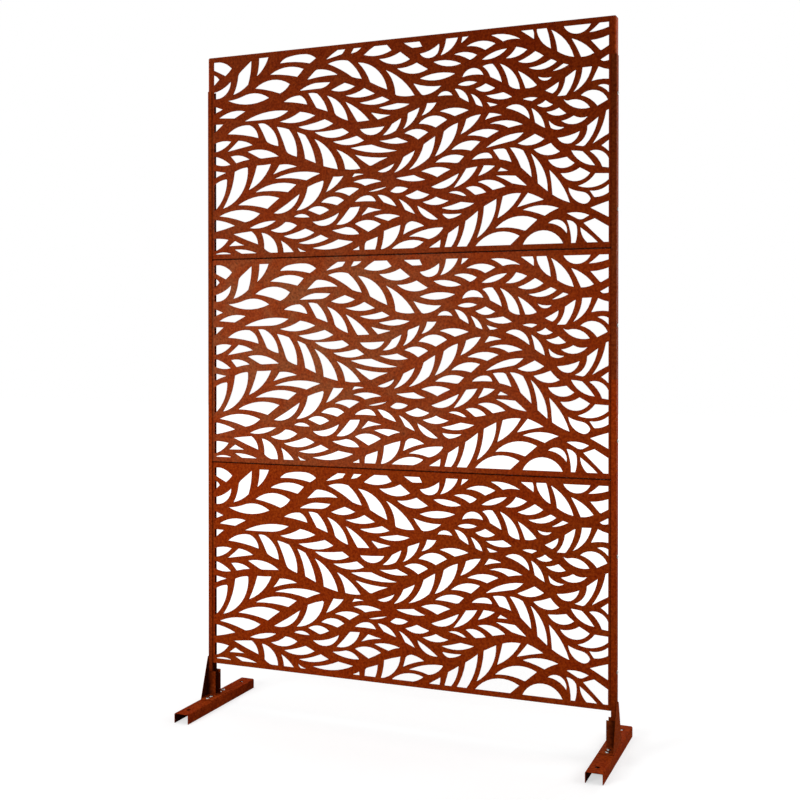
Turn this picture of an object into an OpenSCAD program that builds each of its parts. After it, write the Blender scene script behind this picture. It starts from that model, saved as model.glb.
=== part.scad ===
/* [Screen] */
// Width over the outer faces of the two posts
overall_w = 1220; // [900:10:1500]
// Height of the lowest panel's bottom edge above the ground
ground_gap = 127; // [118:1:220]
// Height of one panel
panel_h = 599; // [520:1:720]
// Gap between one panel and the next
panel_gap = 1.5; // [0.5:0.1:4]

/* [Panels] */
// Thickness of the panel sheet
panel_t = 1.5; // [1:0.1:2.5]
// Depth of a panel from its face to the back edge of its folds
panel_d = 24; // [20:0.5:36]
// Inside radius of the panel's folds
panel_fold_r = 1.5; // [1:0.1:3]
// Plain border left and right of the leaf openings
side_border = 19.5; // [16:0.5:40]
// Plain border above and below the leaf openings
edge_border = 15.5; // [8:0.5:30]
// Height of the lower screw of each side above the panel's bottom edge
screw_low = 100; // [60:1:160]
// Height of the upper screw of each side above the panel's bottom edge
screw_high = 400; // [300:1:420]

/* [Posts] */
// Thickness of the post channel
post_t = 1.5; // [1:0.1:2.5]
// Width of the post's flanges, over the panel's margin
post_flange = 13; // [12:0.5:15]
// Inside radius of the post's folds
post_fold_r = 0.8; // [0.4:0.1:1.6]
// How far the posts stop below the top of the screen
post_drop = 100; // [30:1:180]
// Length of the lower post
lower_post_l = 957; // [820:1:990]
// Diameter of the unused holes in the post's web
spare_hole_d = 4; // [3:0.5:6]
// Distance between one unused hole and the next
spare_pitch = 300; // [280:1:320]

/* [Feet] */
// Length of a foot, front to back
foot_l = 376; // [260:1:600]
// Width of a foot
foot_w = 46; // [44:1:70]
// Height of a foot
foot_h = 28; // [22:1:45]
// Thickness of the foot channel
foot_t = 2; // [1.5:0.1:3]
// Inside radius of the foot's folds
foot_fold_r = 2; // [1:0.1:3]
// How far a foot's outer side stands outside the post
foot_overhang = 5; // [4:0.5:9]
// Diameter of the ground anchor holes
anchor_d = 10; // [7:0.5:13]
// Distance from the end of a foot to its anchor hole
anchor_inset = 38; // [20:1:50]

/* [Brackets] */
// Thickness of the bracket plates
bracket_t = 2; // [1.5:0.1:3]
// Length of the bracket along the foot
bracket_l = 104; // [100:1:130]
// Width of the bracket's base, from the outer face inwards
base_w = 40; // [36:0.5:41]
// How far the sleeve plates reach inwards from the post's outer face
sleeve_w = 25; // [20:0.5:28]
// Height of the sleeve plates above the foot
sleeve_h = 75; // [70:1:84]
// Height of the gusset above the foot
gusset_h = 118; // [95:1:150]

/* [Fasteners] */
// Diameter of the screws that hold the panels and the posts
screw_d = 5; // [4:0.5:6]
// Diameter of their heads
screw_head_d = 10; // [8.5:0.5:11]
// Height of their heads
screw_head_h = 2.8; // [2:0.1:3.5]
// Width across the flats of their nuts
screw_nut_af = 8; // [8:0.5:9]
// Height of their nuts
screw_nut_h = 4; // [3:0.1:5]
// Distance from the foot to the lower post screw
post_screw_low = 24; // [20:1:28]
// Distance from the lower to the upper post screw
post_screw_pitch = 34; // [25:1:38]
// Diameter of the bolts that hold the brackets
bolt_d = 6; // [5:0.5:8]
// Diameter of their heads
bolt_head_d = 11; // [9.5:0.5:12]
// Height of their heads
bolt_head_h = 3.5; // [2.5:0.1:4.5]
// Width across the flats of their nuts
bolt_nut_af = 10; // [9.5:0.5:11]
// Height of their nuts
bolt_nut_h = 5; // [4:0.1:6]
// Distance from the post's outer face inwards to the bolts
bolt_inset = 16; // [12:0.5:20]
// Distance from a sleeve plate to the nearer bolt
bolt_gap = 9.5; // [8:0.5:13]
// Distance from the end of the bracket to the farther bolt
bolt_edge = 7; // [6.5:0.5:8]
// Room round a shank in its holes, on the diameter
hole_room = 0.5; // [0.3:0.1:1]

/* [Hidden] */
$fn = 32;

BROWN = [0.45, 0.18, 0.07];
DARK_BROWN = [0.38, 0.14, 0.05];
SILVER = [0.78, 0.78, 0.8];

LEFT = -1;
RIGHT = 1;
PANEL_COUNT = 3;
SPARE_HOLES = 4;
// Room between a nut's thread and its shank, on the diameter
thread_room = 0.1;
// How far a shank stands out of its nut
shank_end = 2;
// Share of a head that is its straight rim, the top's width, and the drive socket
head_rim = 0.35;
head_top = 0.62;
socket_share = 0.4;
// Cuts run this far past the faces that they open
past = 1;

// Panel and post
panel_w = overall_w - 2 * post_t;
post_x = overall_w / 2;
post_d = panel_d + 2 * post_t;
panel_pitch = panel_h + panel_gap;
screen_top = ground_gap + PANEL_COUNT * panel_pitch - panel_gap;
post_foot_z = foot_h + bracket_t;
post_joint_z = post_foot_z + lower_post_l;
post_top_z = screen_top - post_drop;
function panel_z(k) = ground_gap + k * panel_pitch;

// Bracket and foot
gusset_x = post_x + bracket_t;
base_x = gusset_x - base_w;
foot_x = post_x + foot_overhang - foot_w / 2;
sleeve_y = post_d / 2 + bracket_t;
bolt_ys = [sleeve_y + bolt_gap, bracket_l / 2 - bolt_edge];
bolt_x = post_x - bolt_inset;
post_screw_x = post_x - post_t - (post_flange - post_t) / 2;
post_screw_zs = [foot_h + post_screw_low, foot_h + post_screw_low + post_screw_pitch];
screw_zs = [for (k = [0:PANEL_COUNT - 1]) for (h = [screw_low, screw_high]) panel_z(k) + h];

// ---- Leaf openings -------------------------------------------------------
// The openings are drawn on a field of this size, whose lower edge is leaf_base
// above the panel's edge, and are stretched with the panel's own field.
leaf_field = [1178, 568];
leaf_base = 16;
// Largest distance between an arc and the straight pieces that stand for it
leaf_tolerance = 0.3;
// Two points of an outline nearer than this are one point
leaf_least = 0.3;

// Each opening lists its corners clockwise as the front is seen: the distance
// from the panel's middle, the height, and the bow of the edge that leads to the
// next corner, which is positive outwards. An edge with no bow is straight.
LEAVES = [
    // column 1, along the left post, from the top
    [[-590, 584, 8], [-529, 562, 1], [-550, 542], [-590, 562]],
    [[-590, 547, 2], [-571, 532.5], [-590, 515]],
    [[-590, 495, -5], [-532, 524, 18], [-590, 477]],
    [[-590, 455], [-560, 443.5], [-590, 431.5]],
    [[-590, 400.5], [-558, 399.5], [-590, 373.5]],
    [[-590, 343, 4.7], [-531, 347, 6.3], [-590, 318]],
    [[-590, 306.5, 4.3], [-534, 279, 4.8], [-590, 284.5]],
    [[-590, 263.5], [-549, 256, -1], [-590, 240]],
    [[-590, 220.5, 3.2], [-548, 237, 0.5], [-545, 234, 11.7], [-590, 142.5]],
    [[-590, 118, 3.2], [-519.3, 98.8, 1], [-590, 81.5]],
    [[-590, 62, 1.7], [-541, 57.8, 5], [-590, 24.5]],
    [[-592, 13, 8.2], [-525, 13]],
    // column 2
    [[-463, 579, 3], [-474, 510, 3.5], [-524, 484, -3], [-507, 538, 1], [-500, 549]],
    [[-540, 467.5, -1.5], [-495, 476, 12], [-405, 466, 14.5]],
    [[-571, 418.5, 9.5], [-483.5, 432.5], [-519.5, 414.5]],
    [[-542, 369.5, 8], [-470, 391, 7.5], [-440, 352, -3]],
    [[-543, 318, -0.4], [-507, 348, 3.2], [-459.5, 332.5]],
    [[-532, 303, 6.8], [-470, 291, -1], [-514, 282.5]],
    [[-559, 150.5, -7.2], [-519, 257.5, 2], [-479, 268.2, 0.8], [-475, 265.5, 25.7]],
    [[-570.5, 128.7, 14.7], [-435, 130.8, 4], [-483, 108, 0.3], [-487, 108.6, -2.6]],
    [[-523, 73.7, 0.5], [-464, 80.2, 5.8], [-441.3, 41.7, 1]],
    [[-538, 39.2, 0.4], [-518, 53.8, -0.9], [-488.7, 40.3]],
    [[-519, 28.3, 4.7], [-441, 14], [-492, 14, 0.4]],
    // column 3
    [[-437, 585], [-406, 585, 5], [-444.5, 532, -2]],
    [[-450, 497, 18.5], [-337, 500.5, 3.5], [-369, 476, -2.3]],
    [[-485, 403.5, 11.5], [-342, 423.5, 4], [-395, 404.5, 0.5]],
    [[-440.5, 393, 1.5], [-418, 391.5, 11], [-374, 324.5, 2], [-410, 338], [-413.5, 342, -1]],
    [[-475, 314, 12], [-374, 294.5], [-428, 291.5, 0.5], [-438, 294]],
    [[-445, 271.5, -0.6], [-398.5, 273.5, 10.6], [-472, 201.5, -1.9]],
    [[-449.5, 194, 14.5], [-316, 209.5], [-343, 189.5, -3.8]],
    [[-507.5, 158.6, 15.4], [-371, 173.5, -0.4], [-410, 144.3, -3.7]],
    [[-468.5, 90, 5.9], [-383, 108, 8.7]],
    [[-430, 74.7, 15.5], [-376.5, 15.5, 6], [-421, 29, -3]],
    // column 4
    [[-369, 563, 3], [-340, 579, 2], [-285, 582, 2.5], [-253, 567.5, 0.5], [-272.5, 554.5, -4]],
    [[-400.5, 533, 13.5], [-292.5, 540, 0.5], [-312.5, 519.5, -2.5]],
    [[-356, 450.5, 4.3], [-305, 465, 4.7], [-281, 437.5, -1.5]],
    [[-369, 394.5, -3.3], [-304, 418, 2], [-256, 404, 11]],
    [[-379, 380, 1], [-340, 370, 8.5], [-314, 290, 1], [-343, 302, 1], [-351, 315, -1.5]],
    [[-313.5, 360.5, 0.5], [-287.5, 350, 5.3], [-253.5, 268], [-287.5, 282.5, -4.2]],
    [[-391, 243, -0.8], [-371, 269.5, 3.8], [-315, 261.5, -2.4]],
    [[-386, 230, 11.8], [-240, 237.5, -1], [-283, 220.5, -4.2]],
    [[-315.5, 135, -6.3], [-279.5, 201, 1.2], [-232, 216.5, 0.5], [-228.7, 213, 20.4]],
    [[-389, 130.3, -1.1], [-305.3, 182.3, 20.2]],
    [[-323.5, 117.5, 8.3], [-273.5, 114.3, 1.7]],
    [[-399.5, 81.2, -3.8], [-352, 103, 2.9], [-314, 92, 12.9]],
    [[-356.5, 62.5, -1.9], [-287, 81.8, 0.6], [-258.5, 69.5, 12.4]],
    [[-366, 50, 3.4], [-323.5, 14], [-357, 14, -1.6]],
    [[-312, 27.7, -1.4], [-283, 15.5], [-300, 14], [-303, 15.5, 0.5]],
    // column 5
    [[-221, 560.5, 1], [-183, 585], [-160, 585], [-170, 571.5, 0.5]],
    [[-281, 508], [-257, 530.5, 1], [-246, 534.5, 5], [-185, 514.5, -2.5]],
    [[-305, 478.5, 3], [-255, 496.5, 0.5], [-208, 495, 3.5], [-238, 480]],
    [[-205, 472.5, 0.5], [-162.5, 489.5, 0.5], [-131, 477, 8.5]],
    [[-277, 469, 1.5], [-249, 466, 4.8], [-216, 413], [-250, 425, 0.5], [-254, 430]],
    [[-218, 457.5, 14.5], [-152.5, 382.5, 1.5], [-189, 400], [-194, 407, -3.5]],
    [[-309, 375, -2], [-225, 391, 0.5], [-199, 377, 13.5]],
    [[-256.5, 356, -1.8], [-170, 361.5, 0.4], [-149.5, 348.5, 15.5]],
    [[-258, 337, 14.5], [-184, 246.5, 0.5], [-229, 258, -6.7]],
    [[-198, 226, -0.7], [-167, 226, 5.3], [-221, 183.5, -0.3]],
    [[-236.5, 155, 13.3], [-164.7, 157.7], [-186, 144.7, -1.5]],
    [[-277.8, 134.6, 11], [-212, 132, 0.7], [-239, 120.3, 0.4], [-246, 121.3, 0.3]],
    [[-263.3, 100.5, -5.5], [-180.5, 123, 23.1]],
    [[-308.5, 41.2, -2.4], [-238, 62.6, 0.3], [-213.5, 51.2, 8.2]],
    [[-264, 25.5, -3.5], [-183, 47.4, 0.2], [-137, 40, 11.6]],
    // column 6
    [[-143, 570.5], [-134, 585], [-110, 585, 1], [-126, 573.5, 0.5]],
    [[-214.5, 547.5, 5], [-152, 551, 4.6], [-110, 496.5, 1], [-139, 504, -2.8]],
    [[-121, 543, 21], [-32, 460, 1], [-84, 485, -4]],
    [[-160, 453, -4], [-102, 469.5], [-70, 452, 8]],
    [[-116, 429.5, -2], [-47.5, 441.5], [-25.5, 430, 9]],
    [[-159.5, 435, 5.5], [-87, 378], [-121, 376.5, 1], [-126, 381]],
    [[-115, 355, -0.7], [-41, 358, 20.2]],
    [[-198.5, 325.5, -2.2], [-125, 337, 0.5], [-103, 322.5, 11]],
    [[-143.5, 304, 1.1], [-80, 309.5, -2.3], [-2.5, 288, 9]],
    [[-129.5, 283.5, -3.2], [-30.5, 271, -1.2], [-79, 251.3, 0.7], [-87, 251.8, 1.2]],
    [[-188, 302.5, 7.3], [-114, 244.5, 2.2], [-161, 245.5, -5]],
    [[-139, 221.5, 0.5], [-132, 231, 1], [-103.5, 228, -1]],
    [[-135.5, 208, 8], [-50, 205, -1.4], [-99.5, 195.5, -2.2]],
    [[-193.5, 182.5, 7.8], [-118, 188], [-148.5, 169.5, -3]],
    [[-131, 151.8, 3.7], [-94, 168, 5.2], [-66.5, 150.5, -1]],
    [[-111, 112.3, -0.4], [-90, 134.6, -0.4], [-49.5, 125.5, -2.4]],
    [[-188, 89.5, -1], [-148, 134, 0.5], [-143, 136.3, 0.3], [-116, 137.5, 16.4]],
    [[-130.8, 89.6, 11.2], [-51.5, 85.8, 0.6], [-89.5, 66, 0.3]],
    [[-201.5, 73.7, -1], [-159, 81.5, 5.6], [-117.8, 60.5, 6]],
    [[-101, 14, 0.4], [-99.8, 32, 0.5], [-95, 39, 0.3], [-61, 51, 1.6], [-69.3, 14]],
    [[-140, 14], [-134, 18, -0.7], [-118, 26], [-117, 14]],
    // column 7
    [[-103, 562.5, 1], [-70, 585], [-34, 585], [-19, 568, 8.5]],
    [[-56, 546.5, -4.5], [7, 561], [36, 538, 14]],
    [[-36, 514, 9], [49.5, 437.5, 3], [-4, 441.5], [-7.5, 445, -6.8]],
    [[-57, 411], [-2, 419.5, 0.5], [35, 414.5, 10]],
    [[-80.5, 399, -1], [-22.5, 388], [-60, 378.5, 0.5]],
    [[15.5, 346, -4], [29.5, 387], [32, 390.5, -0.5], [64.5, 402.5, 9.5]],
    [[-45, 333.5, -1.9], [-17.5, 363], [10.5, 377.5, 2.2], [-6, 344, 2.9]],
    [[-55, 318.5, -1.5], [-2.5, 324.5, -0.3], [30, 310.5, 6.7]],
    [[-11.5, 227, -2.6], [17, 269], [50.5, 285, 10.8]],
    [[-60.5, 233.5, -0.4], [-11, 252.5, 11.3]],
    [[-5, 212, 0.3], [47.5, 217.5, -0.9], [81.5, 203, 6.6]],
    [[-89, 178.5, 1], [-33.5, 189.5, 4]],
    [[-22.5, 176, 0.6], [-6, 187.5, 2.2], [30, 181.5, 8.2]],
    [[-60.7, 167.8, 9.3], [-5.2, 134, 0.5], [-42.8, 146.7, 0.5]],
    [[3, 153.3, 5.3], [50.8, 110.5, 0.4], [22.5, 122.5], [20.5, 125, -1]],
    [[-71.5, 108.8, 6.3], [6.5, 105.5, -1.7], [-28.5, 94, 0.4]],
    [[-51.5, 15, -1.8], [-41.5, 66.5, 0.8], [7.5, 81.3, 15.6]],
    [[-20, 14.5, 14], [75.8, 32, 3.6], [35, 14.5]],
    // column 8
    [[17, 585], [64, 585], [72, 569.5, 0.5], [43, 568.5, 0.5]],
    [[65.5, 550, -4.5], [122, 572.5, 2.5], [117, 546, 7.5], [75, 541, 0.5]],
    [[-2, 515.5, -3.5], [56, 526.5], [89, 506, 13.5]],
    [[65.5, 482, 8.5], [168, 487, 11]],
    [[47, 469.5, -4], [128, 457, 5], [77, 435.5], [71, 437.5, 1]],
    [[87, 412.5, -0.5], [114, 412.5, 6], [71, 379.5, -2]],
    [[62, 358, 16.5], [145, 363], [112.5, 344.5, -3]],
    [[20, 334.5, 10.5], [89.5, 332.5], [60.5, 315, -2.6]],
    [[33, 232.5, -6.5], [77, 300.5, 0.4], [110.5, 320.5, 4], [93, 263, 4.1]],
    [[70, 226.5, 9], [154.5, 227, -0.8], [117, 208.5, -1.5]],
    [[22.7, 161.8, -0.9], [57.5, 174.7, -0.6], [93.3, 161.8, 11.2]],
    [[74, 141.8, -1.7], [113.5, 154.3, -1.6], [149.5, 142, 9.8]],
    [[58, 132.3, 2.2], [118.3, 92.7, 13.8]],
    [[16, 54.3], [23.3, 80.5, 2.6], [42.5, 90.2, 2.3], [78, 76.2, -2.7]],
    [[33.5, 48, 6.5], [131, 70, 0.6], [133.3, 67.5, 5], [93, 39.7, 0.3], [89, 40, -2.8]],
    [[91, 14.5, -0.3], [126.3, 36.5, 0.8], [123.3, 14.5]],
    // column 9
    [[189.5, 585], [208, 585, 0.5], [185.5, 567.5]],
    [[142.5, 585], [177, 585, 9], [126, 540, -3]],
    [[165.5, 539, 7], [230.5, 532, 1.5], [211, 520, -2.5]],
    [[106, 524, 7], [185.5, 512.5, 9.5]],
    [[189, 475, 21.5], [249, 476.5, -3.5]],
    [[176, 456, 6], [231, 458, 6.2]],
    [[118, 429.5, 12.3], [161, 428.5, -1]],
    [[167.5, 445.5, 10.8], [207.5, 406.5, 0.5], [182, 421.5, -0.5]],
    [[214, 428, 6.2], [247, 391.5, 1], [228.5, 398.5, -0.5]],
    [[124, 387.5, 8.2], [207, 384.5, 0.5], [167.5, 371.5, -1.5]],
    [[184, 320.5, -1.5], [200.5, 361, 2.3], [242, 370.5, 6.6]],
    [[110, 265, -3.2], [136, 332, 2.4], [176.5, 352.5, 16.8]],
    [[157.5, 280, 11.8], [240, 297, -0.3], [214.5, 274.5, -2.7]],
    [[111, 248.5, 11.4], [194, 260.5], [180, 246, 1], [169, 243.8, -1.4]],
    [[164.5, 176.5, -1], [200.5, 227, 0.3], [232, 230.5, 9.3]],
    [[99.5, 182.5, -1.2], [179, 215, 19.8]],
    [[199.2, 174.5, 9.8], [256.5, 159.8, 0.4], [228, 154.6, 0.6], [222, 157.5, -0.7]],
    [[150.5, 164.3, 7.4], [200.3, 153.5, 0.3], [192.5, 153, -0.9]],
    [[129.7, 123, -1.1], [185, 137.2, -0.2], [223, 131.7, 10.4]],
    [[131.7, 107.2, -1.5], [187.3, 105.7, 2.7], [151, 93, 2.7]],
    [[173, 14, -3.8], [198.7, 85, -0.5], [234, 111, 7.7], [200.3, 14]],
    [[137.7, 14, -0.3], [149, 53.5, -0.4], [179, 73, 5.3], [155.7, 14]],
    // column 10
    [[271, 580.5, 7.5], [352, 563, -3], [304, 561, -1.5]],
    [[201, 557.5, 10.8], [283, 557.5, 0.5], [254.5, 543, -4.5]],
    [[245, 517.5, 6], [315.5, 541, 9]],
    [[247, 499.5, 2], [275, 503.5, 4], [301, 452.5], [268.5, 469.5, -3]],
    [[296, 502, 13], [351, 430, 2.5], [323.5, 439.5], [320, 445, -3.5]],
    [[227, 441, -1], [255.5, 452.5], [282, 438.5, 9.5]],
    [[257, 420, -1], [305, 425, 0.5], [329, 411, 8.5]],
    [[259, 402], [289, 393.5, 1], [268, 390]],
    [[253.5, 355], [265.5, 372.5, 1.5], [300.5, 364.5, -1.5]],
    [[267, 343, 10.2], [358.5, 335.5, -0.7], [320, 329.3, -4.4]],
    [[204, 316.2, 10.4], [292, 322.5, -0.4], [260, 306.3, -2.6]],
    [[257, 279.5, 10], [361, 313.5, 0.8], [342, 297.8, 0.8], [328, 293.2]],
    [[276.5, 272.5, 1], [305, 274.5, 0.8], [313, 270, 0.8], [328, 237.3, -0.8], [295, 246.5, -0.3]],
    [[217, 250, 5.6], [260, 266, 3.1], [274.5, 251, -1]],
    [[234.5, 205, -0.8], [250.5, 232.5, 0.7], [281.5, 229.5, 3.2]],
    [[290, 214.3, 0.3], [298, 223.8, 0.3], [318, 214.7]],
    [[285, 203.2, 0.5], [339, 200, 0.6], [369.8, 172.2, 0.6], [330, 180.3, -1]],
    [[234, 188.8, 11], [311, 172.8], [276, 165.3, -2.7]],
    [[289, 88.5, -0.4], [304, 147, 2.9], [354, 152.7, 7.2]],
    [[231, 37.5, -3.9], [251, 122.5, -0.3], [285.7, 140.5, 15.9]],
    [[225.5, 14.5, 24.2], [350.3, 39.3, -0.3], [323.5, 14.5]],
    // column 11
    [[353, 585], [386, 585], [389.5, 575], [389.5, 559]],
    [[397.5, 585], [423.5, 585, 1.8], [435.5, 529.5, 7], [397.5, 577]],
    [[312, 515, -2.7], [341, 543, 1], [371, 533, 6.8]],
    [[346, 503, -2], [393, 526.5, 0.5], [415.5, 512.5, 10]],
    [[375.5, 484, -3.8], [436, 501.5, 0.5], [451, 493.8, 11.8]],
    [[400.5, 458, -2.5], [438, 454.5, 10]],
    [[346, 478.5, 3.5], [397.5, 436, 2.5], [366.5, 430.5, -1]],
    [[420.5, 420, -0.5], [456.5, 440, 5], [440, 411, 0.5]],
    [[359, 402.5, 3], [399, 403], [384.5, 395.5, 0.5]],
    [[397.5, 383.5, -2], [421, 394.5, -1], [441, 382, 6.8]],
    [[312.3, 382.5, 22.3], [377.8, 349, -4]],
    [[383, 376.5, 8], [419.5, 321.8, 0.7], [393, 338, -0.9]],
    [[345.3, 285.5, -0.5], [392.5, 307.8], [417.8, 292.8, 10.2]],
    [[389.3, 267, -1.2], [435.5, 281, -1.4], [459.8, 257, 12.4]],
    [[324, 275.7, 2.6], [360, 266, 4.7], [383.5, 194], [354, 221.5, -2.4]],
    [[381.5, 256.7, 12.9], [427, 154.5, 0.3], [400.5, 176.5, -4.1]],
    [[344, 116, -0.2], [373, 152.7, 1.4], [416, 132.8, -0.8]],
    [[359.7, 108.3, 9.6], [457, 108.8, -1.5], [419.5, 90.2, -1.8]],
    [[283.5, 61.8, 19.7], [398.7, 80.7, 0.3], [367.5, 53.5, 0.3], [364, 53, -5]],
    [[358.5, 14, 37.7], [469.5, 14]],
    // column 12
    [[469, 586], [543, 586, 24.7]],
    [[436.7, 578.5, 10.3], [497.3, 501.7, 2.8], [453, 520.5, -2.9]],
    [[491, 550.5, 5.6], [550.3, 507.3, 2.4], [516.5, 499.7, -1.1]],
    [[439.7, 469.3, -0.5], [469.3, 487, -0.3], [483, 482.6, 2.7]],
    [[496, 409.7, -5.2], [520, 472], [544.7, 472.8, 9.8]],
    [[453, 402.8, -4.6], [474.5, 450], [498, 465.5, 0.3], [502.7, 467, 4.5], [477, 404.5, 0.3], [473.5, 403]],
    [[469.5, 392.5, -1], [482, 388.7, 10.7], [539.7, 366.5, 11.2]],
    [[423.5, 363.5, -2.3], [457, 372], [476.5, 356, 7.8]],
    [[464, 337, -1.8], [496.5, 348.5, -4], [533.5, 343.5, 13.8]],
    [[430, 340, -5.4], [472, 320.3, 5.6], [435.5, 320.7, 0.8]],
    [[501, 271, -9.7], [533, 319.5, -0.3], [562, 340.7, 6], [527.5, 270, 0.4], [521, 267.3, 0.3]],
    [[453, 293, -2.9], [513, 307, 4.4], [490, 277.5, 6.8]],
    [[490.5, 257.7, 0.5], [520, 254, 1.6], [553, 215.5, 10.3]],
    [[428.5, 236.5, -1.2], [478.5, 242, -0.7], [499, 224.8, 17]],
    [[462, 199.8, -5], [513, 212.3, 0.4], [540.5, 196.7, 21.2]],
    [[431.8, 210, 7], [486.5, 122, 1.8], [440, 145, -1.2]],
    [[483, 160.3, -1.8], [520, 148.2, 3.9], [541.5, 130, 5], [521, 117.5, 9]],
    [[479.3, 94, 5], [538.3, 86.7, 0.3], [521.5, 77.5, 0.9], [509, 77.8]],
    [[429, 70.4, 21.5], [478.5, 42, -6.7]],
    [[479, 76, 4.4], [505, 60, 3], [501, 14], [490.5, 14, -3.4]],
    [[514.8, 55.8, 1.6], [562.3, 14], [535, 14, 5]],
    // column 13, along the right post, from the top
    [[537.3, 561.7, -0.6], [567, 586], [590, 586], [590, 571.5, 2]],
    [[542, 541, -2.2], [590, 550.5], [590, 524], [570, 512.8, 0.3], [566.5, 513.5]],
    [[567.3, 488.5], [590, 501], [590, 486, 0.5], [580, 483.8, 0.8], [571.5, 485.3, 0.2]],
    [[544.2, 434.8], [562, 471, -1.1], [590, 461.3], [590, 437, -2.3]],
    [[560.5, 422, 3.5], [590, 419.3], [590, 401.5, -2.6]],
    [[515.5, 400.2, 19.2], [586.5, 383.5, 0.3], [559.5, 369.7, -4.7]],
    [[547, 272, -5.3], [582.5, 355.5, 0.3], [590, 359.3], [590, 298, 0.8], [581.5, 292.3, -0.4]],
    [[570.3, 266.2], [590, 280.3], [590, 249.5, -1]],
    [[539.5, 253.3, 11.4], [590, 229.7], [590, 208], [572.5, 210.8, -4.2]],
    [[508.5, 164.5, -5.2], [554, 195, -0.2], [590, 193], [590, 178.5, 11.8]],
    [[539.8, 150.3, -6], [590, 165.5], [590, 144.3, 2.8], [554.5, 133, 0.4], [550.5, 134.5, 0.3]],
    [[541.5, 106.2, 0.4], [590, 122], [590, 79.7, -0.3]],
    [[523.5, 67.3], [552.5, 78.2], [590, 55.5], [590, 14], [578.5, 14]]
];

// Points along the arc from a to b, without b
function arc_points(a, b, bow) =
    let (chord = norm(b - a), along = (b - a) / chord, left = [-along[1], along[0]])
    let (half = 2 * atan(2 * abs(bow) / chord), r = chord / 2 / max(sin(half), 0.001))
    let (steps = max(1, ceil(sqrt(abs(bow) / leaf_tolerance))))
    [for (i = [0:steps - 1])
        let (angle = half * (2 * i / steps - 1), rise = r * (cos(angle) - cos(half)))
        i == 0 ? a : (a + b) / 2 + along * r * sin(angle) + left * sign(bow) * rise];

// A leaf's outline on its drawing field
function leaf_outline(leaf) =
    [for (i = [0:len(leaf) - 1])
        let (a = leaf[i], b = leaf[(i + 1) % len(leaf)], bow = len(a) > 2 ? a[2] : 0)
        for (p = arc_points([a[0], a[1]], [b[0], b[1]], bow)) p];

// The same outline stretched on to the panel's field
function on_panel(points, field) =
    [for (p = points)
        [p[0] * field[0] / leaf_field[0],
         edge_border + (p[1] - leaf_base) * field[1] / leaf_field[1]]];

// The part of an outline on one side of a line: side is 1 to keep what is below
// the limit on that axis, and -1 to keep what is above it
function keep_side(points, axis, limit, side) =
    [for (i = [0:len(points) - 1])
        let (a = points[i], b = points[(i + 1) % len(points)])
        let (in_a = side * (limit - a[axis]) >= 0, in_b = side * (limit - b[axis]) >= 0)
        for (p = concat(in_a ? [a] : [],
                        in_a != in_b ? [a + (b - a) * (limit - a[axis]) / (b[axis] - a[axis])] : []))
        p];

function in_field(points, field) =
    let (right = keep_side(points, 0, field[0] / 2, 1))
    let (left = keep_side(right, 0, -field[0] / 2, -1))
    let (top = keep_side(left, 1, edge_border + field[1], 1))
    keep_side(top, 1, edge_border, -1);

// An outline without points that lie on top of the one before
function without_doubles(points) =
    [for (i = [0:len(points) - 1])
        if (norm(points[i] - points[(i + 1) % len(points)]) > leaf_least) points[i]];

// Where each outline starts in the joined list of points
function starts(lists, i = 0, from = 0) =
    i == len(lists) ? [] : concat([from], starts(lists, i + 1, from + len(lists[i])));

// The flat face of a panel with its openings, as one outline with holes
module leaf_sheet() {
    field = [panel_w - 2 * side_border, panel_h - 2 * edge_border];
    fold = panel_fold_r + panel_t;
    rim_x = panel_w / 2 - fold;
    rim = [[-rim_x, fold], [-rim_x, panel_h - fold], [rim_x, panel_h - fold], [rim_x, fold]];
    holes = [for (leaf = LEAVES)
        without_doubles(in_field(on_panel(leaf_outline(leaf), field), field))];
    rings = concat([rim], holes);
    first = starts(rings);
    polygon(points = [for (ring = rings) for (p = ring) p],
            paths = [for (k = [0:len(rings) - 1]) [for (i = [0:len(rings[k]) - 1]) first[k] + i]]);
}

// ---- Folded sheet --------------------------------------------------------
// A quarter of a ring, round the origin in the first quadrant
module quarter_ring(inner_r, t) {
    intersection() {
        difference() {
            circle(inner_r + t);
            circle(inner_r);
        }
        square(inner_r + t);
    }
}

// A fold seen along its edge: from the flat at the origin's left it turns down
// to the given depth. The outer corner of the fold would be at the origin.
module fold_profile(inner_r, t, depth) {
    r = inner_r + t;
    translate([-r, -r]) quarter_ring(inner_r, t);
    translate([-t, -depth]) square([t, depth - r]);
}

// A channel whose web lies on the Y axis and whose flanges point to -X
module channel_profile(depth, flange, t, inner_r) {
    r = inner_r + t;
    translate([-t, -depth / 2 + r]) square([t, depth - 2 * r]);
    for (side = [-1, 1]) scale([1, side]) {
        translate([-r, depth / 2 - r]) quarter_ring(inner_r, t);
        translate([-flange, depth / 2 - t]) square([flange - r, t]);
    }
}

// ---- Pieces --------------------------------------------------------------
// Mirrors a right-hand piece to the side that is asked for
module on_side(side) {
    mirror([side == LEFT ? 1 : 0, 0, 0]) children();
}

// Lays a shape drawn along +Z with its seat at the origin so that it points
// outwards from the right-hand post
module outwards() {
    rotate([0, 90, 0]) children();
}

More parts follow.
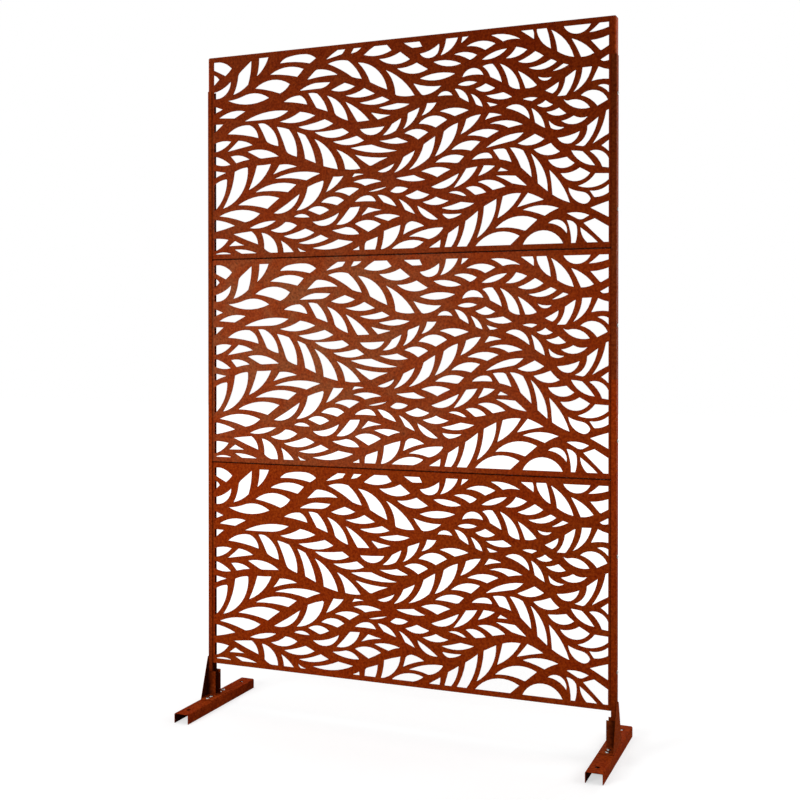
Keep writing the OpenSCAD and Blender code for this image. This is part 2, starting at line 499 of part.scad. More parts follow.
module panel(k) {
    fold = panel_fold_r + panel_t;
    translate([0, -panel_d / 2, panel_z(k)]) difference() {
        union() {
            rotate([90, 0, 0]) translate([0, 0, -panel_t]) linear_extrude(panel_t) leaf_sheet();
            for (side = [LEFT, RIGHT]) on_side(side)
                translate([panel_w / 2, 0, fold]) linear_extrude(panel_h - 2 * fold)
                    mirror([0, 1]) fold_profile(panel_fold_r, panel_t, panel_d);
            for (up = [0, 1]) translate([0, 0, panel_h / 2]) mirror([0, 0, up])
                translate([-panel_w / 2 + fold, 0, -panel_h / 2]) rotate([90, 0, 90])
                    linear_extrude(panel_w - 2 * fold) mirror([1, 0]) rotate(-90)
                        fold_profile(panel_fold_r, panel_t, panel_d);
        }
        for (side = [LEFT, RIGHT], z = [screw_low, screw_high]) on_side(side)
            translate([panel_w / 2 - panel_t - past, panel_d / 2, z])
                outwards() cylinder(h = panel_t + 2 * past, d = screw_d + hole_room);
    }
}

module post(side, z0, z1) {
    on_side(side) difference() {
        translate([post_x, 0, z0]) linear_extrude(z1 - z0)
            channel_profile(post_d, post_flange, post_t, post_fold_r);
        for (z = screw_zs) translate([post_x - post_t - past, 0, z])
            outwards() cylinder(h = post_t + 2 * past, d = screw_d + hole_room);
        for (k = [1:SPARE_HOLES]) translate([post_x - post_t - past, 0, ground_gap + k * spare_pitch])
            outwards() cylinder(h = post_t + 2 * past, d = spare_hole_d);
        for (z = post_screw_zs) translate([post_screw_x, post_d / 2 - post_t - past, z])
            rotate([-90, 0, 0]) cylinder(h = post_t + 2 * past, d = screw_d + hole_room);
    }
}

module foot(side) {
    on_side(side) difference() {
        translate([foot_x, foot_l / 2, foot_h]) rotate([90, 0, 0]) linear_extrude(foot_l)
            rotate(90) channel_profile(foot_w, foot_h, foot_t, foot_fold_r);
        for (y = [-1, 1] * (foot_l / 2 - anchor_inset))
            translate([foot_x, y, foot_h - foot_t - past])
                cylinder(h = foot_t + 2 * past, d = anchor_d);
        bracket_holes(foot_h - foot_t);
    }
}

// The four bolt holes of a bracket, starting below the given height
module bracket_holes(z) {
    for (way = [-1, 1], y = bolt_ys) translate([bolt_x, way * y, z - past])
        cylinder(h = foot_t + bracket_t + 2 * past, d = bolt_d + hole_room);
}

// One welded bracket: an outer gusset folded into a base, and two sleeve plates
module bracket(side) {
    on_side(side) difference() {
        union() {
            translate([base_x, -bracket_l / 2, foot_h])
                cube([base_w - bracket_t, bracket_l, bracket_t]);
            translate([post_x, bracket_l / 2, foot_h + bracket_t]) rotate([90, 0, 0])
                linear_extrude(bracket_l) rotate(-90) quarter_ring(0, bracket_t);
            translate([post_x, 0, foot_h]) rotate([90, 0, 90]) linear_extrude(bracket_t)
                polygon([[-bracket_l / 2, bracket_t], [bracket_l / 2, bracket_t],
                         [post_d / 2, gusset_h], [-post_d / 2, gusset_h]]);
            for (y = [-sleeve_y, sleeve_y - bracket_t])
                translate([post_x - sleeve_w, y, foot_h])
                    cube([sleeve_w, bracket_t, sleeve_h]);
        }
        bracket_holes(foot_h);
        for (z = post_screw_zs) translate([post_screw_x, sleeve_y - bracket_t - past, z])
            rotate([-90, 0, 0]) cylinder(h = bracket_t + 2 * past, d = screw_d + hole_room);
    }
}

// ---- Fasteners -----------------------------------------------------------
// A screw along +Z: its head sits on the plane z = 0 and its shank points down
module screw(d, head_d, head_h, shank) {
    difference() {
        rotate_extrude() polygon([
            [0, -shank], [d / 2, -shank], [d / 2, 0], [head_d / 2, 0],
            [head_d / 2, head_h * head_rim], [head_d / 2 * head_top, head_h], [0, head_h]]);
        translate([0, 0, head_h / 2]) cylinder(h = head_h, d = head_d * socket_share, $fn = 6);
    }
}

// A nut whose upper face is on the plane z = 0
module nut(d, af, h) {
    difference() {
        translate([0, 0, -h]) cylinder(h = h, d = af / cos(30), $fn = 6);
        translate([0, 0, -h - past]) cylinder(h = h + 2 * past, d = d + thread_room);
    }
}

module panel_screws(k) {
    for (side = [LEFT, RIGHT], z = [screw_low, screw_high]) on_side(side)
        translate([post_x, 0, panel_z(k) + z]) outwards()
            screw(screw_d, screw_head_d, screw_head_h, post_t + panel_t + screw_nut_h + shank_end);
}

module panel_nuts(k) {
    for (side = [LEFT, RIGHT], z = [screw_low, screw_high]) on_side(side)
        translate([post_x - post_t - panel_t, 0, panel_z(k) + z]) outwards()
            nut(screw_d, screw_nut_af, screw_nut_h);
}

module post_screws(side) {
    on_side(side) for (z = post_screw_zs) translate([post_screw_x, sleeve_y, z])
        rotate([-90, 0, 0])
            screw(screw_d, screw_head_d, screw_head_h, bracket_t + post_t + screw_nut_h + shank_end);
}

module post_nuts(side) {
    on_side(side) for (z = post_screw_zs) translate([post_screw_x, post_d / 2 - post_t, z])
        rotate([-90, 0, 0]) rotate(30) nut(screw_d, screw_nut_af, screw_nut_h);
}

module bracket_bolts(side) {
    on_side(side) for (way = [-1, 1], y = bolt_ys)
        translate([bolt_x, way * y, foot_h + bracket_t])
            screw(bolt_d, bolt_head_d, bolt_head_h, bracket_t + foot_t + bolt_nut_h + shank_end);
}

module bracket_nuts(side) {
    on_side(side) for (way = [-1, 1], y = bolt_ys)
        translate([bolt_x, way * y, foot_h - foot_t]) nut(bolt_d, bolt_nut_af, bolt_nut_h);
}

// ---- Nodes ---------------------------------------------------------------
module top_panel() { color(DARK_BROWN) panel(2); }
module middle_panel() { color(BROWN) panel(1); }
module bottom_panel() { color(BROWN) panel(0); }
module left_upper_post() { color(BROWN) post(LEFT, post_joint_z, post_top_z); }
module right_upper_post() { color(DARK_BROWN) post(RIGHT, post_joint_z, post_top_z); }
module left_lower_post() { color(BROWN) post(LEFT, post_foot_z, post_joint_z); }
module right_lower_post() { color(BROWN) post(RIGHT, post_foot_z, post_joint_z); }
module left_foot() { color(BROWN) foot(LEFT); }
module right_foot() { color(BROWN) foot(RIGHT); }
module left_bracket() { color(BROWN) bracket(LEFT); }
module right_bracket() { color(BROWN) bracket(RIGHT); }
module top_panel_screws() { color(SILVER) panel_screws(2); }
module middle_panel_screws() { color(SILVER) panel_screws(1); }
module bottom_panel_screws() { color(SILVER) panel_screws(0); }
module top_panel_nuts() { color(SILVER) panel_nuts(2); }
module middle_panel_nuts() { color(SILVER) panel_nuts(1); }
module bottom_panel_nuts() { color(SILVER) panel_nuts(0); }
module left_post_screws() { color(SILVER) post_screws(LEFT); }
module right_post_screws() { color(SILVER) post_screws(RIGHT); }
module left_post_nuts() { color(SILVER) post_nuts(LEFT); }
module right_post_nuts() { color(SILVER) post_nuts(RIGHT); }
module left_bracket_bolts() { color(SILVER) bracket_bolts(LEFT); }
module right_bracket_bolts() { color(SILVER) bracket_bolts(RIGHT); }
module left_bracket_nuts() { color(SILVER) bracket_nuts(LEFT); }
module right_bracket_nuts() { color(SILVER) bracket_nuts(RIGHT); }

top_panel();
middle_panel();
bottom_panel();
left_upper_post();
right_upper_post();
left_lower_post();
right_lower_post();
left_foot();
right_foot();
left_bracket();
right_bracket();
top_panel_screws();
middle_panel_screws();
bottom_panel_screws();
top_panel_nuts();
middle_panel_nuts();
bottom_panel_nuts();
left_post_screws();
right_post_screws();
left_post_nuts();
right_post_nuts();
left_bracket_bolts();
right_bracket_bolts();
left_bracket_nuts();
right_bracket_nuts();
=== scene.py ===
"""Dresses the laser cut screen: brown coated sheet metal held by bright screws, bolts and nuts."""
import math

import bmesh
import bpy
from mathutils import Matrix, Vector


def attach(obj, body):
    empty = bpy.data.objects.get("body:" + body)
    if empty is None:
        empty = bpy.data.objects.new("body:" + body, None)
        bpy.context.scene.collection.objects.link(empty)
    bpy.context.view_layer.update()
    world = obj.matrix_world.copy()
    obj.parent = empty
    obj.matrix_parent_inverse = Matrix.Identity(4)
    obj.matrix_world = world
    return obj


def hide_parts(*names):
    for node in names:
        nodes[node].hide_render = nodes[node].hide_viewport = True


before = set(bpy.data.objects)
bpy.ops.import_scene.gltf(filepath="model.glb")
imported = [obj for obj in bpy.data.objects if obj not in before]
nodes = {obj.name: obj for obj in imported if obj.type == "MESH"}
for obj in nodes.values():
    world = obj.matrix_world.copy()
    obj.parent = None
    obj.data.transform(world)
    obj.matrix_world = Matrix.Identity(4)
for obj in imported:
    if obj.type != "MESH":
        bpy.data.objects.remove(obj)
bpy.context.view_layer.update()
MM = 0.001

# Sizes and places on the screen that its finishes and fasteners follow. Those across it are
# measured from its middle to the right, and the left side mirrors them.
PANEL_BASE = 127 * MM
PANEL_HEIGHT = 599 * MM
PANEL_GAP = 1.5 * MM
PANEL_PITCH = PANEL_HEIGHT + PANEL_GAP
PANEL_SCREWS_UP = (100 * MM, 400 * MM)
LOWER_SEAM = PANEL_BASE + PANEL_PITCH - PANEL_GAP / 2
UPPER_SEAM = LOWER_SEAM + PANEL_PITCH
SIDE_FOLD_INSIDE = 607 * MM
POST_TOP = 1827 * MM
POST_OUTSIDE = 610 * MM
FLANGE_EDGE = 597 * MM
FLANGE_INSIDE = 12 * MM
POST_SCREW_ACROSS = 602.75 * MM
POST_SCREW_HEIGHTS = (52 * MM, 86 * MM)
SLEEVE_BACK = 15.5 * MM
BRACKET_END = 52 * MM
BRACKET_BASE_TOP = 30 * MM
BOLT_ACROSS = 594 * MM
BOLTS_ALONG = (-45 * MM, -25 * MM, 25 * MM, 45 * MM)
FOOT_MIDDLE = 592 * MM
FOOT_TOP = 28 * MM
FOOT_WEB_UNDERSIDE = 26 * MM
ANCHOR_ALONG = 150 * MM


# ---- Camera --------------------------------------------------------------
def add_camera():
    """Stands where the photograph was taken from: right of the screen, turned to the left."""
    data = bpy.data.cameras.new("camera")
    data.sensor_width = 36
    data.lens = 51.85
    data.shift_y = -0.0627
    data.clip_end = 60
    camera = bpy.data.objects.new("camera", data)
    camera.location = (1.212, -2.9772, 1.0872)
    camera.rotation_euler = (math.radians(89.55), 0, math.radians(22.12))
    bpy.context.collection.objects.link(camera)
    bpy.context.scene.camera = camera


# ---- Node trees ----------------------------------------------------------
class Field:
    """One output of a node. The usual operators on its numbers add Math nodes."""

    def __init__(self, tree, socket):
        self.tree = tree
        self.socket = socket

    def maths(self, operation, *values):
        return self.tree.node("ShaderNodeMath", {"operation": operation}, dict(enumerate(values)))

    def output(self, name):
        return Field(self.tree, self.socket.node.outputs[name])

    def __add__(self, other):
        return self.maths("ADD", self, other)

    def __sub__(self, other):
        return self.maths("SUBTRACT", self, other)

    def __rsub__(self, other):
        return self.maths("SUBTRACT", other, self)

    def __mul__(self, other):
        return self.maths("MULTIPLY", self, other)

    def __truediv__(self, other):
        return self.maths("DIVIDE", self, other)

    def __rtruediv__(self, other):
        return self.maths("DIVIDE", other, self)

    def __mod__(self, other):
        return self.maths("FLOORED_MODULO", self, other)

    __radd__ = __add__
    __rmul__ = __mul__

    def __lt__(self, other):
        return self.maths("LESS_THAN", self, other)

    def floor(self):
        return self.maths("FLOOR", self)

    def distance_from(self, other):
        return self.maths("ABSOLUTE", self - other)

    def at_most(self, other):
        return self.maths("MINIMUM", self, other)

    def at_least(self, other):
        return self.maths("MAXIMUM", self, other)

    def sin(self):
        return self.maths("SINE", self)

    def cos(self):
        return self.maths("COSINE", self)


class Tree:
    """A node tree that is built by calls."""

    def __init__(self, tree):
        self.tree = tree
        tree.nodes.clear()

    def node(self, kind, settings=None, inputs=None, output=0):
        """Adds a node with its settings and its sockets' values or links. Gives one output."""
        made = self.tree.nodes.new(kind)
        for name, value in (settings or {}).items():
            setattr(made, name, value)
        for key, value in (inputs or {}).items():
            if isinstance(value, Field):
                self.tree.links.new(value.socket, made.inputs[key])
            else:
                made.inputs[key].default_value = value
        return Field(self, made.outputs[output]) if made.outputs else None

    def mix_colours(self, share, first, second):
        return self.node("ShaderNodeMix", {"data_type": "RGBA"}, {0: share, 6: first, 7: second}, 2)

    def scale_colour(self, colour, share):
        sockets = {0: colour, "Scale": share}
        return self.node("ShaderNodeVectorMath", {"operation": "SCALE"}, sockets)

    def part_of(self, place, axis):
        """One of the place's three coordinates, named X, Y or Z."""
        return self.node("ShaderNodeSeparateXYZ", {}, {0: place}, axis)

    def distance(self, place, other=(0, 0, 0)):
        sockets = {0: place, 1: other}
        return self.node("ShaderNodeVectorMath", {"operation": "DISTANCE"}, sockets, "Value")

    def noise(self, place, size, detail=2.0, roughness=0.5):
        """Noise from 0 to 1 with features about size metres across."""
        sockets = {"Vector": place, "Scale": 1 / size, "Detail": detail, "Roughness": roughness}
        return self.node("ShaderNodeTexNoise", {}, sockets)

    def stretch(self, value, low, high):
        """Value as a share, from 0 at low to 1 at high."""
        return self.node("ShaderNodeMapRange", {}, {0: value, 1: low, 2: high})


def new_material(name):
    material = bpy.data.materials.new(name)
    material.use_nodes = True
    return material, Tree(material.node_tree)


# ---- Finishes ------------------------------------------------------------
# the grey of the coat's patches and of its painted reflection
GREYISH = (0.2, 0.062, 0.0225, 1)


def coat_material(name, tint, shade, patches_and_reflection, sheen, roughness, darker):
    """Matte rust-brown coat with a fine sand texture, cloudy and mottled like weathered steel.

    The share of greyish patches is how strongly they show, as a number or from the coat's tree and
    place; where it follows the place, on the panels, it is a painted reflection standing in for the
    coat's sheen.
    darker gives the share of the coat's tint that is lost, from the same two: painted shade, and
    painted light where it is below nought.
    """
    material, tree = new_material(name)
    place = tree.node("ShaderNodeTexCoord", output="Object")
    cloud = tree.stretch(tree.noise(place, 0.2, 3), 0.35, 0.65)
    mottle = tree.stretch(tree.noise(place, 0.03, 4, 0.6), 0.3, 0.7)
    patch = tree.stretch(tree.noise(place, 0.07, 4, 0.6), 0.42, 0.66)
    grain = tree.stretch(tree.noise(place, 0.0065, 2, 0.6), 0.32, 0.68)
    sand = tree.noise(place, 0.0011, 2)
    tone = cloud * 0.25 + mottle * 0.25 + grain * 0.5
    colour = tree.mix_colours(tone, (*tint, 1), (*shade, 1))
    haze = patches_and_reflection(tree, place) if callable(patches_and_reflection) else patches_and_reflection
    # greyish patches, and where the share follows the place a painted reflection
    colour = tree.mix_colours((0.3 + 0.7 * patch) * haze, colour, GREYISH)
    brightness = 0.52 + 0.2 * mottle + 0.76 * grain
    rough = roughness - 0.04 + 0.1 * mottle + 0.06 * cloud
    # the loss is painted shade, and below nought it is painted light
    loss = darker(tree, place)
    brightness = brightness * (1 - loss)
    rough = rough + 0.4 * loss.at_least(0)
    bumps = {"Strength": 0.35, "Distance": 0.3 * MM, "Height": sand * 0.6 + grain * 0.4}
    coat = {
        "Base Color": tree.scale_colour(colour, brightness),
        "Roughness": rough,
        "Specular IOR Level": sheen,
        "Specular Tint": (1, 0.62, 0.22, 1),
        "Normal": tree.node("ShaderNodeBump", {}, bumps),
    }
    surface = tree.node("ShaderNodeBsdfPrincipled", {}, coat)
    tree.node("ShaderNodeOutputMaterial", {}, {"Surface": surface})
    return material


# Each of the functions below takes a coat's tree and its Object coordinates, and gives a share
def above_posts(tree, place):
    return tree.stretch(tree.part_of(place, "Z"), POST_TOP - 2 * MM, POST_TOP + 2 * MM)


def sidelit_folds(tree, place):
    """The top panel's side folds, where they stand above the posts; the coat paints light on them
    as if lit from the side.
    """
    across = tree.part_of(place, "X").distance_from(0)
    return tree.stretch(across, 603 * MM, 606.5 * MM) * above_posts(tree, place)


def in_the_joints(tree, place):
    """Painted shade on the folds where two panels meet, and a painted shadow of a post's flange
    edge on a panel's face along the posts.
    """
    height = tree.part_of(place, "Z")
    above_lower = height - LOWER_SEAM
    above_upper = height - UPPER_SEAM
    # the shade reaches half as far down the lower panel's fold as it does up the upper one's
    lower_joint = above_lower.at_least(-2 * above_lower)
    upper_joint = above_upper.at_least(-2 * above_upper)
    nearest = lower_joint.at_most(upper_joint)
    between_panels = 0.85 * (1 - tree.stretch(nearest, 0.8 * MM, 3.6 * MM))
    # a painted shadow beside each post's flange edge
    from_post = tree.part_of(place, "X").distance_from(0).distance_from(FLANGE_EDGE - 0.5 * MM)
    flange_shadow = 1 - tree.stretch(from_post, 2.5 * MM, 5.5 * MM)
    flange_shadow = flange_shadow * (1 - above_posts(tree, place))
    return between_panels.at_least(0.5 * flange_shadow)


def in_the_joints_and_high_up(tree, place):
    """The same on the top panel, with painted shade growing towards its top, and painted light on
    the side folds above the posts.
    """
    up = tree.stretch(tree.part_of(place, "Z"), 1.503, 1.85)
    loss = (0.17 * up).at_least(in_the_joints(tree, place))
    return loss - 0.9 * sidelit_folds(tree, place)


def painted_reflection_left_of_middle(tree, place):
    """A painted greyish reflection that is strongest left of the screen's middle."""
    across = tree.part_of(place, "X")
    spot = tree.node("ShaderNodeCombineXYZ", {}, {"X": across, "Z": tree.part_of(place, "Z")})
    away = tree.distance(spot, (-0.35, 0, 1.2))
    return 0.72 * (1 - tree.stretch(away, 0.2, 0.93))


def painted_reflection_on_folds(tree, place):
    """The same painted reflection, but weaker, on the top panel, and a painted greyish sheen on its
    side folds above the posts.
    """
    return (0.45 * painted_reflection_left_of_middle(tree, place)).at_least(0.55 * sidelit_folds(tree, place))


def on_web(tree, place):
    """1 on the outer face of a post's web."""
    across = tree.part_of(place, "X").distance_from(0)
    return tree.stretch(across, POST_OUTSIDE - 1.5 * MM, POST_OUTSIDE - 0.5 * MM)


def shade_round_the_screws(tree, place):
    """Painted shade on a post's web, close round the heads of the screws that hold the panels."""
    up_a_panel = (tree.part_of(place, "Z") - PANEL_BASE) % PANEL_PITCH
    low, high = [up_a_panel.distance_from(screw) for screw in PANEL_SCREWS_UP]
    sockets = {"X": low.at_most(high), "Y": tree.part_of(place, "Y")}
    away = tree.distance(tree.node("ShaderNodeCombineXYZ", {}, sockets))
    return 0.6 * on_web(tree, place) * (1 - tree.stretch(away, 5.5 * MM, 8 * MM))


def low_down(tree, place):
    """Painted shade, darker towards the foot of a post, and slowly all the way down it."""
    height = tree.part_of(place, "Z")
    near_the_foot = 0.45 * (1 - tree.stretch(height, 0.05, 0.2))
    loss = near_the_foot + 0.25 * (1 - tree.stretch(height, 0.15, 0.8))
    return loss.at_least(shade_round_the_screws(tree, place))


def high_up(tree, place):
    """Painted shade, darker towards the top of a post, but for the outer face of its web, which
    stays pale as a painted sheen.
    """
    up = tree.stretch(tree.part_of(place, "Z"), 0.98, 1.7)
    loss = 0.42 * up * (1 - on_web(tree, place))
    return loss.at_least(shade_round_the_screws(tree, place))


def painted_shade_on_feet(tree, place):
    """Painted shade on a foot at its bracket and holes, in its channel, and on its inner side
    behind.
    """
    across = tree.part_of(place, "X").distance_from(0)
    along = tree.part_of(place, "Y")
    from_middle = along.distance_from(0)
    height = tree.part_of(place, "Z")
    spot = tree.node("ShaderNodeCombineXYZ", {}, {"X": across, "Y": from_middle})
    to_hole = tree.distance(spot, (FOOT_MIDDLE, ANCHOR_ALONG, 0))
    at_the_holes = 0.9 * (1 - tree.stretch(to_hole, 5.5 * MM, 7 * MM))
    to_bracket = from_middle.distance_from(BRACKET_END + 2 * MM)
    by_the_bracket = 0.45 * (1 - tree.stretch(to_bracket, 2 * MM, 7 * MM))
    by_the_bracket = by_the_bracket * tree.stretch(height, FOOT_TOP - 1.2 * MM, FOOT_TOP - 0.4 * MM)
    from_centre = across - FOOT_MIDDLE
    between_walls = tree.stretch(from_centre, -21.8 * MM, -21.2 * MM) * (
        1 - tree.stretch(from_centre, 21.2 * MM, 21.8 * MM)
    )
    under_web = 1 - tree.stretch(height, FOOT_TOP - 1.8 * MM, FOOT_TOP - 1.2 * MM)
    inside = 0.72 * between_walls * under_web
    inner_side = 1 - tree.stretch(from_centre, -22.8 * MM, -21.8 * MM)
    behind = 0.5 * inner_side * tree.stretch(along, -0.02, 0.16)
    return at_the_holes.at_least(by_the_bracket).at_least(inside).at_least(behind)


def beside_the_gusset(tree, place):
    """Painted shade on a bracket between its sleeve plates and its gusset, and painted light on its
    base.
    """
    across = tree.part_of(place, "X").distance_from(0)
    inner_side = across < POST_OUTSIDE + 1 * MM
    height = tree.part_of(place, "Z")
    above_base = tree.stretch(height, BRACKET_BASE_TOP + 0.1 * MM, BRACKET_BASE_TOP + 4 * MM)
    gusset_shade = 0.78 * tree.stretch(across, 0.58, 0.604) * inner_side * above_base
    return gusset_shade - 0.4 * (1 - above_base)


def zinc_material():
    """Bright zinc plating, lightly clouded and a little scratched."""
    material, tree = new_material("zinc plating")
    place = tree.node("ShaderNodeTexCoord", output="Object")
    cloud = tree.noise(place, 0.004, 3)
    scratches = tree.noise(place, 0.0006, 2)
    bumps = {"Strength": 0.15, "Distance": 0.1 * MM, "Height": scratches}
    plating = {
        "Base Color": tree.mix_colours(cloud, (0.15, 0.148, 0.142, 1), (0.36, 0.352, 0.338, 1)),
        "Metallic": 1.0,
        "Roughness": 0.24 + 0.16 * cloud,
        "Normal": tree.node("ShaderNodeBump", {}, bumps),
    }
    surface = tree.node("ShaderNodeBsdfPrincipled", {}, plating)
    tree.node("ShaderNodeOutputMaterial", {}, {"Surface": surface})
    return material


def dress(node, material):
    """Gives a CAD node its finish."""
    data = nodes[node].data
    data.materials.clear()
    data.materials.append(material)


# ---- Fasteners -----------------------------------------------------------
AROUND = 36
SHANK_ROWS = 60


def new_geometry_tree(name, sizes):
    """A Geometry Nodes tree on seat points, with one named input for each size, and its inputs."""
    group = bpy.data.node_groups.new(name, "GeometryNodeTree")
    group.interface.new_socket("Seats", in_out="INPUT", socket_type="NodeSocketGeometry")
    for size in sizes:
        group.interface.new_socket(size, in_out="INPUT", socket_type="NodeSocketFloat")
    group.interface.new_socket("Finish", in_out="INPUT", socket_type="NodeSocketMaterial")
    group.interface.new_socket("Fasteners", in_out="OUTPUT", socket_type="NodeSocketGeometry")
    tree = Tree(group)
    return tree, tree.node("NodeGroupInput")


def choose(tree, row, values):
    """The value that stands at the row's number in the list."""
    switch = tree.tree.nodes.new("GeometryNodeIndexSwitch")
    switch.data_type = "FLOAT"
    while len(switch.index_switch_items) < len(values):
        switch.index_switch_items.new()
    tree.tree.links.new(row.socket, switch.inputs[0])
    for socket, value in zip(switch.inputs[1:], values):
        if isinstance(value, Field):
            tree.tree.links.new(value.socket, socket)
        else:
            socket.default_value = value
    return Field(tree, switch.outputs[0])


def turned(tree, rows, outline):
    """A shape turned about Z. outline gives radius and height from a row and a share of a turn."""
    grid = {"Vertices X": AROUND + 1, "Vertices Y": rows}
    sheet = tree.node("GeometryNodeMeshGrid", {}, grid, "Mesh")
    index = tree.node("GeometryNodeInputIndex")
    turn = (index / rows).floor() / AROUND
    radius, height = outline(index % rows, turn)
    angle = turn * math.tau
    sockets = {"X": radius * angle.cos(), "Y": radius * angle.sin(), "Z": height}
    place = tree.node("ShaderNodeCombineXYZ", {}, sockets)
    bent = tree.node("GeometryNodeSetPosition", {}, {"Geometry": sheet, "Position": place})
    return tree.node("GeometryNodeMergeByDistance", {}, {"Geometry": bent, "Distance": 0.002 * MM})


def six_sided(turn):
    """How much farther than its flats a hexagon reaches in that direction."""
    off_flat = ((turn * 6 + 0.5) % 1 - 0.5) * (math.tau / 6)
    return 1 / off_flat.cos().at_least(0.5)


def finish_tree(tree, inputs, shapes):
    """Puts the joined shapes on every seat, pointing along the seat's own direction."""
    joined = tree.tree.nodes.new("GeometryNodeJoinGeometry")
    for shape in shapes:
        tree.tree.links.new(shape.socket, joined.inputs[0])
    vector = {"data_type": "FLOAT_VECTOR"}
    out = tree.node("GeometryNodeInputNamedAttribute", vector, {"Name": "out"})
    sockets = {
        "Points": inputs.output("Seats"),
        "Instance": Field(tree, joined.outputs[0]),
        "Rotation": tree.node("FunctionNodeAlignRotationToVector", {"axis": "Z"}, {"Vector": out}),
    }
    seated = tree.node("GeometryNodeInstanceOnPoints", {}, sockets)
    real = tree.node("GeometryNodeRealizeInstances", {}, {"Geometry": seated})
    sockets = {"Geometry": real, "Material": inputs.output("Finish")}
    finished = tree.node("GeometryNodeSetMaterial", {}, sockets)
    tree.node("NodeGroupOutput", {}, {"Fasteners": finished})
    return tree.tree


def screw_tree():
    """A domed screw with a six-sided socket and a real thread, seated under its head."""
    sizes = ("Head diameter", "Head height", "Socket", "Shank diameter", "Shank length", "Pitch")
    tree, inputs = new_geometry_tree("domed screw", sizes)
    head_r = inputs.output("Head diameter") / 2
    head_h = inputs.output("Head height")
    socket = inputs.output("Socket") / 2
    shank_r = inputs.output("Shank diameter") / 2
    length = inputs.output("Shank length")
    pitch = inputs.output("Pitch")
    core_r = shank_r - pitch * 0.5

    def head(row, turn):
        hexagon = socket * six_sided(turn)
        # from the socket's floor over the dome to the seat and in to the shank
        radius = choose(tree, row, [
            0.0, hexagon, hexagon, socket * 1.25, head_r * 0.64, head_r * 0.8, head_r * 0.92,
            head_r * 0.985, head_r, head_r * 0.985, core_r, 0.0,
        ])
        height = choose(tree, row, [
            head_h * 0.38, head_h * 0.38, head_h * 0.97, head_h, head_h * 0.95, head_h * 0.84,
            head_h * 0.62, head_h * 0.38, head_h * 0.16, 0.0, 0.0, 0.0,
        ])
        return radius, height

    def shank(row, turn):
        down = ((row - 1) / (SHANK_ROWS - 3)).at_least(0).at_most(1)
        height = (length * down) * -1 - length * 0.002
        ridge = ((height / pitch - turn) % 1).distance_from(0.5) * 2
        taper = ((1 - down) * 8).at_most(1)
        threaded = core_r + pitch * 0.5 * ridge * taper
        shown = (row * (SHANK_ROWS - 1 - row)).at_most(1)
        return threaded * shown, height

    shapes = [turned(tree, 12, head), turned(tree, SHANK_ROWS, shank)]
    return finish_tree(tree, inputs, shapes)


def nut_tree():
    """A six-sided nut with turned-off corners and a threaded bore, its upper face on the seat."""
    tree, inputs = new_geometry_tree("six-sided nut", ("Across flats", "Height", "Bore", "Pitch"))
    flat_r = inputs.output("Across flats") / 2
    depth = inputs.output("Height")
    bore_r = inputs.output("Bore") / 2
    pitch = inputs.output("Pitch")

    def body(row, turn):
        rim = flat_r * 0.96
        corner = flat_r * six_sided(turn)
        fall = (corner - rim) * 0.55
        mouth = bore_r + pitch * 0.4
        groove = bore_r + pitch * 0.25
        radius = choose(tree, row, [
            mouth, rim, corner, corner, rim, mouth,
            bore_r, groove, bore_r, groove, bore_r, mouth,
        ])
        height = choose(tree, row, [
            0.0, 0.0, fall * -1, fall - depth, depth * -1, depth * -1,
            depth * -0.88, depth * -0.69, depth * -0.5, depth * -0.31, depth * -0.12, 0.0,
        ])
        return radius, height

    return finish_tree(tree, inputs, [turned(tree, 12, body)])


def fasteners(name, tree, seats, sizes):
    """Seats one fastener on each (place, direction) pair, in place of the CAD node of that name."""
    mesh = bpy.data.meshes.new(name + "_seats")
    mesh.from_pydata([place for place, out in seats], [], [])
    directions = mesh.attributes.new("out", "FLOAT_VECTOR", "POINT")
    directions.data.foreach_set("vector", [number for place, out in seats for number in out])
    seat_object = bpy.data.objects.new(name + "_seats", mesh)
    bpy.context.collection.objects.link(seat_object)
    modifier = seat_object.modifiers.new("fasteners", "NODES")
    modifier.node_group = tree
    values = {"Finish": zinc, **sizes}
    for item in tree.interface.items_tree:
        if item.in_out == "INPUT" and item.name in values:
            modifier[item.identifier] = values[item.name]
    graph = bpy.context.evaluated_depsgraph_get()
    made = bpy.data.meshes.new_from_object(seat_object.evaluated_get(graph))
    bpy.data.objects.remove(seat_object)
    shell = bmesh.new()
    shell.from_mesh(made)
    bmesh.ops.recalc_face_normals(shell, faces=shell.faces)
    shell.to_mesh(made)
    shell.free()
    made.shade_smooth()
    made.set_sharp_from_angle(angle=math.radians(32))
    piece = bpy.data.objects.new(name + "_fine", made)
    bpy.context.collection.objects.link(piece)
    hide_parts(name)
    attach(piece, "root")


SCREW = {
    "Head diameter": 10 * MM, "Head height": 2.8 * MM, "Socket": 3.6 * MM,
    "Shank diameter": 5 * MM, "Pitch": 0.8 * MM,
}
PANEL_SCREW = {**SCREW, "Shank length": 9 * MM}
POST_SCREW = {**SCREW, "Shank length": 9.5 * MM}
BOLT = {
    "Head diameter": 11 * MM, "Head height": 3.5 * MM, "Socket": 4.4 * MM,
    "Shank diameter": 6 * MM, "Shank length": 11 * MM, "Pitch": 1 * MM,
}
SCREW_NUT = {"Across flats": 8 * MM, "Height": 4 * MM, "Bore": 5.06 * MM, "Pitch": 0.8 * MM}
BOLT_NUT = {"Across flats": 10 * MM, "Height": 5 * MM, "Bore": 6.06 * MM, "Pitch": 1 * MM}


